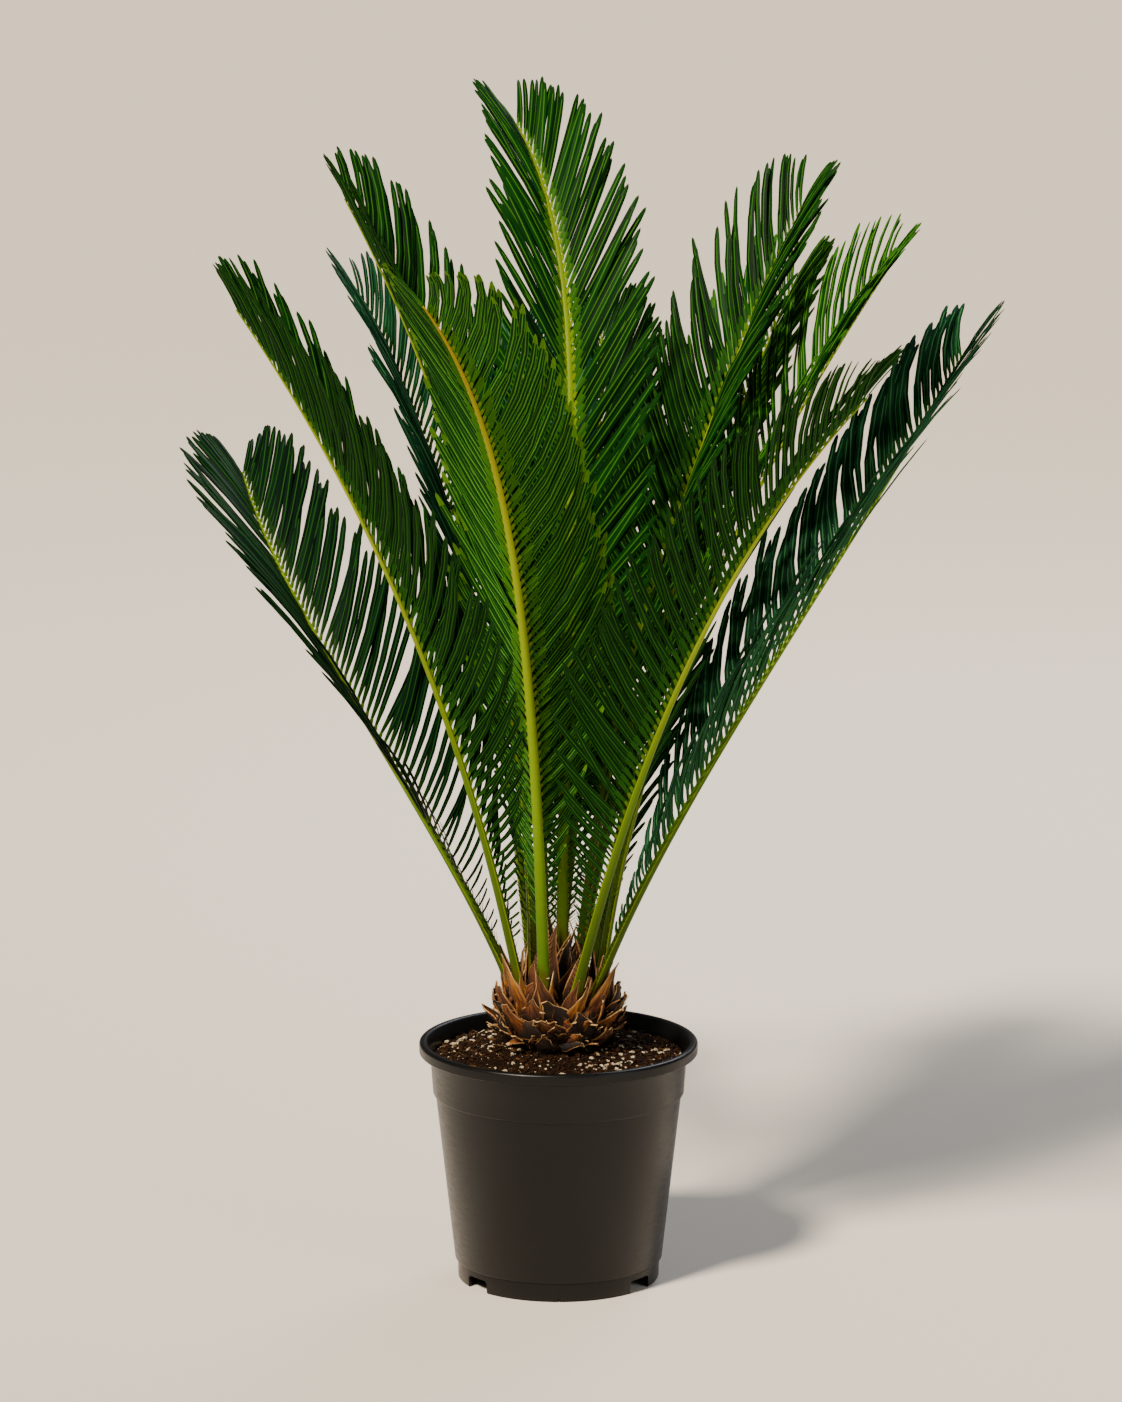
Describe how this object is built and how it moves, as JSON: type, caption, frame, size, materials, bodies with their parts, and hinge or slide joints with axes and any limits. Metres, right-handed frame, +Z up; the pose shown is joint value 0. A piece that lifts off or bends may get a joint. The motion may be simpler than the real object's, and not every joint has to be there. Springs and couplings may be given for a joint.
{
  "type": "sago palm in nursery pot",
  "caption": "Potted cycad: a squat scaly trunk with a crown of stiff arching comb-like fronds, in a round black plastic nursery pot filled with soil.",
  "frame": {"origin": "middle of the pot's flat underside, on the surface that it stands on", "axes": "+Z up along the pot's axis, +X to the right of the front view, -Y towards the viewer of the front view"},
  "size_m": [0.8345, 0.8864, 1.1669],
  "materials": {
    "black_plastic": "satin moulded",
    "potting_soil": "loose damp mix with white perlite",
    "caudex_scales": "dry fibrous leaf bases",
    "frond_leaf": "glossy leathery leaf"
  },
  "bodies": {
    "root": {"pot": "black_plastic", "soil": "potting_soil", "trunk": "caudex_scales", "frond_centre_back": "frond_leaf", "frond_front": "frond_leaf", "frond_right_tall": "frond_leaf", "frond_left_tall": "frond_leaf", "frond_left": "frond_leaf", "frond_far_right": "frond_leaf", "frond_front_right": "frond_leaf", "frond_right": "frond_leaf", "frond_low_left": "frond_leaf", "frond_back_left": "frond_leaf", "frond_back_right": "frond_leaf", "frond_rear_right": "frond_leaf", "frond_rear": "frond_leaf", "frond_rear_left": "frond_leaf"}
  },
  "joints": []
}
